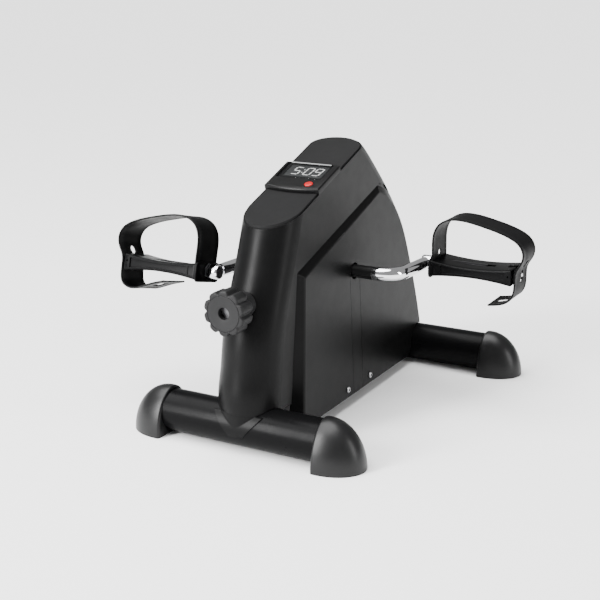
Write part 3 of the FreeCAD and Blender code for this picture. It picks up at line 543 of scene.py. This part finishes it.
def foot_strap(name, side):
    """A beaded band swept round the foot's opening, with its holes cut."""
    place = pedal_place(side)
    path = smooth_path(STRAP + TAILS[side], 150)
    runs = np.gradient(path, axis=0)
    runs /= np.linalg.norm(runs, axis=1)[:, None]
    rings = []
    for spot, run in zip(path, runs):
        across = np.array([-run[1], run[0]])
        ring = []
        for y, t in strap_section():
            x, z = spot + across * t
            ring.append((side * x, y, z))
        rings.append(ring)
    points, faces = skin(rings)
    band = new_object(name, points, faces, place, [MATERIALS["strap_rubber"]])
    low, high = (-122, -95) if side < 0 else (95, 122)
    cutters = [rod_cutter(place, (low, 0, 0), (high, 0, 0), 7.2)]
    if side > 0:
        cutters.append(rod_cutter(place, (low, 0, 14.8), (high, 0, 14.8), 3.8))
    low, high = (-235, -206) if side < 0 else (206, 235)
    cutters.append(box_cutter(place, (low, -1, -12), (high, 6, 4), 3.4))
    cutters.append(rod_cutter(place, (low, 2.5, 12.5), (high, 2.5, 12.5), 4.6))
    if side > 0:
        cutters.append(box_cutter(place, (189, -6, -50), (203, 6, -20), 2.5, 2))
    else:
        cutters.append(box_cutter(place, (-178, -8, -50), (-164, 8, -10), 2.5, 2))
        for x in (-183, -187.5, -192, -196.5):
            cutters.append(box_cutter(place, (x - 1.2, -13, -50), (x + 1.2, 13, -10), 1.1, 2))
    carve(band, cutters)
    soften(band, 0.25, 2, 50)
    return install(band, name)


PEDAL_INNER = 107
PEDAL_OUTER = 211


def pedal_outline(x):
    """Top and bottom of the pedal block at a distance from the machine."""
    share = (x - (PEDAL_INNER + PEDAL_OUTER) / 2) / 52
    sag = 4.0 * (1 - min(1, share**2))
    return 8.5 - sag, -12.0 + sag


def block_rings(stations, depth_low, depth_high, shrink, radius, side):
    """Rings of a waisted block between two depths."""
    rings = []
    for x in stations:
        top, low = pedal_outline(x)
        top -= shrink
        low += shrink
        middle_y = (depth_low + depth_high) / 2
        middle_z = (top + low) / 2
        outline = rounded_box((depth_high - depth_low) / 2, (top - low) / 2, radius)
        rings.append([(side * x, middle_y + y, middle_z + z) for y, z in outline])
    return rings


def end_rings(side):
    """The pedal's skin with its ends rounded over."""
    stations = [107.0, 107.3, 108.2] + list(np.linspace(112, 206, 48)) + [209.8, 210.7, 211.0]
    inset = {107.0: 1.2, 107.3: 0.5, 108.2: 0.0, 209.8: 0.0, 210.7: 0.5, 211.0: 1.2}
    rings = []
    for x in stations:
        shrink = inset.get(x, 0.0)
        rings += block_rings([x], -24 + shrink, 24 - shrink, shrink, 2.5, side)
    return rings


def pedal_body(name, side):
    """A waisted block with recessed flanks, and the plate at its inner end."""
    place = pedal_place(side)
    black = MATERIALS["pedal_plastic"]
    points, faces = skin(end_rings(side))
    block = new_object(name, points, faces, place, [black])
    cutters = []
    for face in (-1, 1):
        low, high = (-30, -22.2) if face < 0 else (22.2, 30)
        points, faces = skin(block_rings(np.linspace(121, 203, 30), low, high, 3.0, 0.8, side))
        cutters.append(new_object("cutter", points, faces, place))
        low, high = (-30, -23.2) if face < 0 else (23.2, 30)
        points, faces = skin(block_rings(np.linspace(111.5, 119, 6), low, high, 3.0, 0.8, side))
        cutters.append(new_object("cutter", points, faces, place))
        tip = -26 if face < 0 else 26
        hole_start, hole_end = (side * 207, tip, 0), (side * 207, tip * 0.84, 0)
        cutters.append(rod_cutter(place, hole_start, hole_end, 1.3, 20))
    cutters.append(rod_cutter(place, (side * 100, 0, 0), (side * 184, 0, 0), 6.35))
    cutters.append(rod_cutter(place, (side * 200, 0, 0), (side * 215, 0, 0), 9.0))
    carve(block, cutters)
    soften(block, 0.35, 2, 40)

    rings = []
    for x, shrink in ((105.5, 1.0), (105.9, 0.3), (106.5, 0.0), (107.9, 0.0), (108.5, 0.5)):
        outline = rounded_box(24.9 - shrink, 11.9 - shrink, 5.0)
        rings.append([(side * x, y, z - 2) for y, z in outline])
    points, faces = skin(rings)
    plate = new_object(f"{name}_plate", points, faces, place, [black])
    carve(plate, [rod_cutter(place, (side * 100, 0, 0), (side * 115, 0, 0), 6.35)])
    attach(plate, BODY_OF[name])
    return install(block, name)


def peg(name, side):
    """A domed rivet with a washer that holds the strap's end."""
    low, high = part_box(name)
    reach = (high.x - low.x) * 1000
    start = low.x if side > 0 else high.x
    profile = [(0, 0), (0, 2.3), (reach - 1.6, 2.3), (reach - 1.5, 2.55), (reach - 0.9, 2.55),
               (reach - 0.45, 2.2), (reach - 0.15, 1.5), (reach - 0.05, 0.6), (reach - 0.05, 0)]
    points, faces = lathe([(side * a, r) for a, r in profile], 40)
    centre = (low + high) / 2
    place = Matrix.Translation((start, centre.y, centre.z))
    item = new_object(name, points, faces, place, [MATERIALS["zinc_steel"]])
    return install(item, name)


for side, word in ((-1, "left"), (1, "right")):
    foot_strap(f"{word}_foot_strap", side)
    pedal_body(f"{word}_pedal_body", side)
    peg(f"{word}_strap_peg", side)

# ------------------------------------------------------------------ crank

BAR = 7.97
BEND = 26.0
LEG_X = 95
EYE_Y = 96
PAINTED_REFLECTION_RINGS = 5


def crank_arm(name, side):
    """A bent chrome bar with a forged eye, and a black band painted on its inner leg: a painted
    reflection of the dark housing in the chrome.
    """
    place = crank_place()
    centres = []
    for x in (28, 32, 44, 56, 62, 65.9, 66.1, 69):
        centres.append(((side * x, 0), (1, 0)))
    for step in range(1, 25):
        angle = math.pi / 2 * step / 24
        x = 69 + BEND * math.sin(angle)
        y = BEND - BEND * math.cos(angle)
        centres.append(((side * x, side * y), (math.cos(angle), math.sin(angle))))
    for y in (32, 45, 60, 72, 80, 86):
        centres.append(((side * LEG_X, side * y), (0, 1)))
    rings = []
    for index, ((x, y), (along, ahead)) in enumerate(centres):
        radius = BAR
        if 0 < index <= PAINTED_REFLECTION_RINGS:
            radius = BAR - 0.02
        flat = 1.0
        if index == len(centres) - 2:
            flat = 0.93
        if index == len(centres) - 1:
            flat = 0.82
        ring = []
        for a in np.linspace(0, 2 * math.pi, 64, endpoint=False):
            out = radius * flat * math.cos(a)
            up = radius * math.sin(a)
            ring.append((x - side * out * ahead, y + side * out * along, up))
        rings.append(ring)
    points, faces = skin(rings)
    # the first rings of the bar take the black paint of the painted reflection
    marks = [0] * len(faces)
    for index in range(PAINTED_REFLECTION_RINGS * 64):
        marks[index] = 1
    bar = new_object(name, points, faces, place, [MATERIALS["crank_chrome"], PAINTED_DARK_REFLECTION], marks, 60)
    eye_start, eye_end = (side * 80, side * EYE_Y, 0), (side * 110, side * EYE_Y, 0)
    carve(bar, [rod_cutter(place, eye_start, eye_end, 6.2, 64)])

    profile = [(-6.45, 6.2), (-6.45, 7.4), (-6.1, 8.0), (-5.2, 8.5), (5.2, 8.5), (6.1, 8.0),
               (6.45, 7.4), (6.45, 6.2), (-6.45, 6.2)]
    rings = []
    for along, radius in profile:
        rings.append([(side * LEG_X + along, side * EYE_Y + y, z) for y, z in circle(radius, 64)])
    points, faces = skin(rings, caps=False)
    eye = new_object(f"{name}_eye", points, faces, place, [MATERIALS["crank_chrome"]], sharp=50)
    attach(eye, "crank")
    return install(bar, name)


for side, word in ((-1, "left"), (1, "right")):
    crank_arm(f"{word}_crank_arm", side)

# ------------------------------------------------------------------ knob


def knob():
    """Ten broad lobes round a dished face with a ring groove and a deep hole."""
    low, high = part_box("tension_knob")
    centre = (low + high) / 2
    depth = (high.y - low.y) * 1000
    tip = (high.z - low.z) * 500 - 0.15
    turns = 240

    def edge(angle, inset):
        valley = (0.5 - 0.5 * math.cos(10 * angle)) ** 3.2
        return tip - 3.3 * valley - inset

    face = [
        (9.0, 4.2), (9.0, 6.3), (8.4, 6.6), (1.7, 6.6), (1.1, 6.8), (0.95, 7.3), (0.75, 11.0),
        (0.35, 15.5), (0.12, 18.6), (0.12, 19.2), (0.55, 19.5), (0.6, 19.9), (0.12, 20.3),
    ]
    lobes = [
        (0.0, 2.6), (0.1, 1.6), (0.5, 0.7), (1.3, 0.15), (2.2, 0.0), (12.0, 0.0),
        (19.6, 0.15), (20.8, 0.7), (21.4, 1.8), (21.5, 3.4),
    ]
    hub = [
        (21.5, 15.6), (21.7, 15.2), (22.0, 14.9), (depth - 0.6, 14.9), (depth - 0.1, 14.4),
        (depth - 0.05, 13.6), (depth - 0.05, 4.3), (9.0, 4.2),
    ]
    rings = []
    for profile, lobed in ((face, False), (lobes, True), (hub, False)):
        for along, radius in profile:
            ring = []
            for a in np.linspace(0, 2 * math.pi, turns, endpoint=False):
                reach = edge(a, radius) if lobed else radius
                ring.append((reach * math.sin(a), along, reach * math.cos(a)))
            rings.append(ring)
    points, faces = skin(rings, caps=False)
    place = Matrix.Translation((centre.x, low.y, centre.z))
    item = new_object("tension_knob", points, faces, place, [MATERIALS["knob_plastic"]], sharp=40)
    return install(item, "tension_knob")


knob()
for node in ("tension_screw", "left_pedal_spindle", "right_pedal_spindle"):
    frame["nodes"][node].data.materials[0] = CHROME_DARK

# ------------------------------------------------------------------ console

DECK_SLOPE = math.radians(19.9)
DECK = Matrix.Translation((0, CENTRE_Y - 0.055, 0.2815)) @ Matrix.Rotation(DECK_SLOPE, 4, "X")
CONSOLE_HALF = (35, 32)
WINDOW_SPOT = (-1.5, 10.5)
SCREEN_SPOT = (-1.5, 13.5)
SCREEN_TOP = 1.92
BUTTON_SPOT = (18, -18.5)
BUTTON_TALL = 6.34


def console_outline(inset, bow=4.0, steps=14):
    """Straight flanks and bowed ends, counter-clockwise."""
    half = CONSOLE_HALF[0] - inset
    run = CONSOLE_HALF[1] - inset
    out = []
    for end in (-1, 1):
        for step in range(steps + 1):
            share = -1 + 2 * step / steps
            x = -end * half * share if end > 0 else half * share
            y = end * (run - bow * share**2)
            out.append((x, y))
    return out


def bezel():
    """The console's shell with its window, button hole and hollow."""
    rings = []
    for z, inset in ((-2.1, 0), (3.2, 0), (4.1, 0.3), (4.75, 0.9), (4.98, 1.8)):
        rings.append([(x, y, z) for x, y in console_outline(inset)])
    points, faces = skin(rings)
    item = new_object("console_bezel", points, faces, DECK, [MATERIALS["console_plastic"]])
    rings = []
    for z, grow in ((-4, 0), (2.2, 0), (4.0, 0.9), (6.0, 1.6)):
        outline = rounded_box(28.4 + grow, 17.4 + grow, 1.6 + grow / 2)
        rings.append(shifted(outline, WINDOW_SPOT, z))
    points, faces = skin(rings)
    window = new_object("cutter", points, faces, DECK)
    points, faces = skin([
        shifted(circle(5.5, 48), BUTTON_SPOT, z) for z in (-6, 8)
    ])
    hole = new_object("cutter", points, faces, DECK)
    hollow = box_cutter(DECK, (-31, -24, -8), (31, 30, -1.2), 1.0, 2)
    carve(item, [window, hole, hollow])
    soften(item, 0.3, 2, 40)
    return install(item, "console_bezel")


def pane():
    """The window, a flat sheet with polished edges."""
    rings = []
    for z, inset in ((3.12, 0.3), (3.2, 0.05), (4.2, 0.05), (4.29, 0.3)):
        outline = rounded_box(28.25 - inset, 17.25 - inset, 1.4)
        rings.append(shifted(outline, WINDOW_SPOT, z))
    points, faces = skin(rings)
    item = new_object("display_window", points, faces, DECK, [MATERIALS["window_clear"]])
    return install(item, "display_window")


SEGMENTS = {
    "a": (0, 6.0, True), "b": (2.9, 3.0, False), "c": (2.9, -3.0, False), "d": (0, -6.0, True),
    "e": (-2.9, -3.0, False), "f": (-2.9, 3.0, False), "g": (0, 0, True),
}
DIGITS = {"5": "afgcd", "0": "abcdef", "9": "abcdfg"}


def segment(centre, flat, slant=0.12):
    """One bar of a digit with pointed ends, a hair above the screen."""
    reach, half = 2.75, 0.52
    shape = [(-reach, 0), (-reach + half, half), (reach - half, half), (reach, 0),
             (reach - half, -half), (-reach + half, -half)]
    ring = []
    for along, across in shape:
        x, y = (along, across) if flat else (across, along)
        x += centre[0]
        y += centre[1]
        ring.append((x + slant * y, y))
    return ring


def screen():
    """The liquid crystal with its readout."""
    rings = []
    for z, inset in ((-2.2, 0.2), (-2.0, 0.0), (SCREEN_TOP - 0.15, 0.0), (SCREEN_TOP, 0.25)):
        outline = rounded_box(24.9 - inset, 13.9 - inset, 0.8)
        rings.append(shifted(outline, SCREEN_SPOT, z))
    points, faces = skin(rings)
    glass = new_object("display_screen", points, faces, DECK, [MATERIALS["screen_grey"]])
    install(glass, "display_screen")

    points = []
    faces = []
    middle = SCREEN_SPOT[1]
    height = SCREEN_TOP + 0.12
    for digit, offset in (("5", -13.6), ("0", 1.6), ("9", 13.6)):
        for name in DIGITS[digit]:
            x, y, flat = SEGMENTS[name]
            ring = segment((x, y), flat)
            first = len(points)
            points += [(px * 1.42 + offset, py * 1.3 + middle, height) for px, py in ring]
            faces.append(tuple(range(first, first + 6)))
    for y in (-3.2, 3.2):
        first = len(points)
        points += [(-5.9 + 0.15 * y + a, middle + y + b, height)
                   for a, b in ((-0.5, -0.9), (0.5, -0.9), (0.5, 0.9), (-0.5, 0.9))]
        faces.append(tuple(range(first, first + 4)))
    digits = new_object("display_digits", points, faces, DECK, [DIGIT])
    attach(digits, BODY_OF["display_screen"])


def surround():
    """The black mask that fills the window round the screen."""
    outer = rounded_box(28.2, 17.2, 1.5)
    inner = rounded_box(24.6, 13.6, 0.8)
    rings = []
    for outline, spot, z in (
        (outer, WINDOW_SPOT, 1.96), (outer, WINDOW_SPOT, 2.5), (inner, SCREEN_SPOT, 2.5),
        (inner, SCREEN_SPOT, 1.96), (outer, WINDOW_SPOT, 1.96),
    ):
        rings.append(shifted(outline, spot, z))
    points, faces = skin(rings, caps=False)
    item = new_object("display_surround", points, faces, DECK, [MATERIALS["console_plastic"]])
    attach(item, BODY_OF["console_bezel"])


def painted_window_glint():
    """A pale strip along the far edge of the window opening: a painted highlight where that edge
    catches the light.
    """
    rings = []
    for x in (-27.5, -26.9, 24.0, 24.6):
        shrink = 0.35 if x in (-27.5, 24.6) else 0.0
        outline = rounded_box(0.9 - shrink, 0.42 - shrink / 2, 0.2)
        rings.append([(x, 27.3 + y, 4.62 + z * 0.75) for y, z in outline])
    points, faces = skin(rings)
    item = new_object("painted_window_glint", points, faces, DECK, [PAINTED_GLINT])
    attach(item, BODY_OF["console_bezel"])


def button():
    """A domed push button with a soft shoulder."""
    rings = []
    for z, radius in ((0.0, 5.0), (0.3, 5.15), (5.1, 5.15), (5.7, 4.9), (6.05, 4.3),
                      (6.25, 3.0), (6.32, 1.4), (6.33, 0.05)):
        rings.append(shifted(circle(radius, 64), BUTTON_SPOT, z + BUTTON_FOOT))
    points, faces = skin(rings)
    item = new_object("reset_button", points, faces, DECK, [MATERIALS["button_red"]])
    return install(item, "reset_button")


def deck_height(node):
    """The highest point of a node along the deck's normal, in millimetres."""
    back = DECK.inverted()
    return max((back @ v.co).z * 1000 for v in frame["nodes"][node].data.vertices)


BUTTON_FOOT = deck_height("reset_button") - BUTTON_TALL
bezel()
pane()
screen()
surround()
painted_window_glint()
button()

# ------------------------------------------------------------------ saddles


def saddle(node, tube_node, sign):
    """A thin pointed cover that carries the column's nose down over the tube."""
    low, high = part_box(tube_node)
    axis_y = (low.y + high.y) * 500
    axis_z = (low.z + high.z) * 500
    tube = (high.z - low.z) * 500
    nose_y = axis_y - sign * 13.4
    rings = []
    for lift in (0.15, 1.25):
        rows = []
        for z in np.linspace(19.2, 44.5, 26):
            half = 8.6 + (30.5 - 8.6) * (z - 19.2) / 25.3
            nose = 37.4 + 2.2 * (44.55 - z) / 25.55
            if lift < 1:
                nose -= 1.6
            row = []
            for x in np.linspace(-half, half, 41):
                over = math.sqrt(max(0.0, (tube + lift)**2 - (z - axis_z)**2))
                front = sign * axis_y + over
                if abs(x) < nose:
                    front = max(front, sign * nose_y + math.sqrt(nose**2 - x**2))
                row.append((x, sign * front, z))
            rows.append(row)
        rings.append(rows)
    points = [spot for rows in rings for row in rows for spot in row]
    faces = []
    wide, tall = 41, 26
    for layer in (0, 1):
        for row in range(tall - 1):
            for step in range(wide - 1):
                first = layer * wide * tall + row * wide + step
                faces.append((first, first + 1, first + 1 + wide, first + wide))
    border = [i for i in range(wide)]
    border += [row * wide + wide - 1 for row in range(1, tall)]
    border += [(tall - 1) * wide + i for i in range(wide - 2, -1, -1)]
    border += [row * wide for row in range(tall - 2, 0, -1)]
    skip = wide * tall
    for first, second in zip(border, border[1:] + border[:1]):
        faces.append((first, second, second + skip, first + skip))
    item = new_object(node, points, faces, Matrix(), [MATERIALS["housing_plastic"]], sharp=45)
    return install(item, node)


saddle("front_saddle", "front_stabiliser_tube", -1)
saddle("rear_saddle", "rear_stabiliser_tube", 1)

# ------------------------------------------------------------------ screws


def cover_screws():
    """Four pan-head screws with a shallow round recess in each head, painted near black as
    painted shade of a cross recess, in the covers' corners.
    """
    low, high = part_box("slot_cover_screws")
    height = (low.z + high.z) / 2
    points = []
    faces = []
    marks = []
    for side in (-1, 1):
        for y in (low.y + 0.0036, high.y - 0.0036):
            edge = high.x if side > 0 else low.x
            profile = [(-9.0, 0.0), (-9.0, 1.9), (-1.9, 1.9), (-1.85, 3.5), (-0.9, 3.55),
                       (-0.35, 3.3), (-0.04, 2.7), (0.0, 2.0), (-0.1, 1.7), (-1.1, 1.35),
                       (-1.15, 0.0)]
            new_points, new_faces = lathe([(a * side, r) for a, r in profile], 40)
            first = len(points)
            for x, py, pz in new_points:
                points.append((edge * 1000 + x, y * 1000 + py, height * 1000 + pz))
            for index, face in enumerate(new_faces):
                faces.append(tuple(first + corner for corner in face))
                # the recess faces take the painted shade
                marks.append(1 if index // 40 >= 8 and index < 400 else 0)
    item = new_object("slot_cover_screws", points, faces, Matrix(),
                      [MATERIALS["zinc_steel"], PAINTED_RECESS_SHADE], marks)
    return install(item, "slot_cover_screws")


cover_screws()

# ------------------------------------------------------------------ carried-over nodes

for node, width in (
    ("front_deck_plate", 0.3), ("rear_deck_plate", 0.3), ("main_frame", 0.4),
    ("stabiliser_nuts", 0.3), ("tension_yoke", 0.4), ("left_spindle_cap", 0.4),
    ("right_spindle_cap", 0.4), ("left_pedal_spindle", 0.3), ("right_pedal_spindle", 0.3),
):
    soften(frame["nodes"][node], width, 2, 40)

# ------------------------------------------------------------------ studio


def make_floor():
    mesh = bpy.data.meshes.new("floor")
    far = 40
    mesh.from_pydata([(-far, -far, 0), (far, -far, 0), (far, far, 0), (-far, far, 0)], [],
                     [(0, 1, 2, 3)])
    floor = bpy.data.objects.new("floor", mesh)
    bpy.context.scene.collection.objects.link(floor)
    make = Nodes("floor")
    make.set("Base Color", (0.93, 0.93, 0.93, 1))
    make.set("Roughness", 0.7)
    make.set("Specular IOR Level", 0.15)
    mesh.materials.append(make.material)


def area_light(name, place, target, width, height, power):
    data = bpy.data.lights.new(name, "AREA")
    data.shape = "RECTANGLE"
    data.size = width
    data.size_y = height
    data.energy = power
    light = bpy.data.objects.new(name, data)
    light.location = place
    aim = Vector(target) - Vector(place)
    light.rotation_euler = aim.to_track_quat("-Z", "Y").to_euler()
    bpy.context.scene.collection.objects.link(light)


def sun_light(name, direction, strength, spread):
    data = bpy.data.lights.new(name, "SUN")
    data.energy = strength
    data.angle = math.radians(spread)
    light = bpy.data.objects.new(name, data)
    light.rotation_euler = Vector(direction).to_track_quat("-Z", "Y").to_euler()
    bpy.context.scene.collection.objects.link(light)


make_floor()
world = bpy.data.worlds.new("world")
bpy.context.scene.world = world
world.use_nodes = True
world.node_tree.nodes["Background"].inputs["Color"].default_value = (1, 1, 1, 1)
world.node_tree.nodes["Background"].inputs["Strength"].default_value = 0.4
sun_light("sun", (0.25, 0.15, -1.0), 7.5, 60)
area_light("front_strip", (-1.1, -2.15, 1.1), (0, 0, 0.2), 0.5, 1.6, 145)
area_light("right_strip", (2.4, 0.0, 0.9), (0, 0, 0.2), 0.35, 1.4, 28)
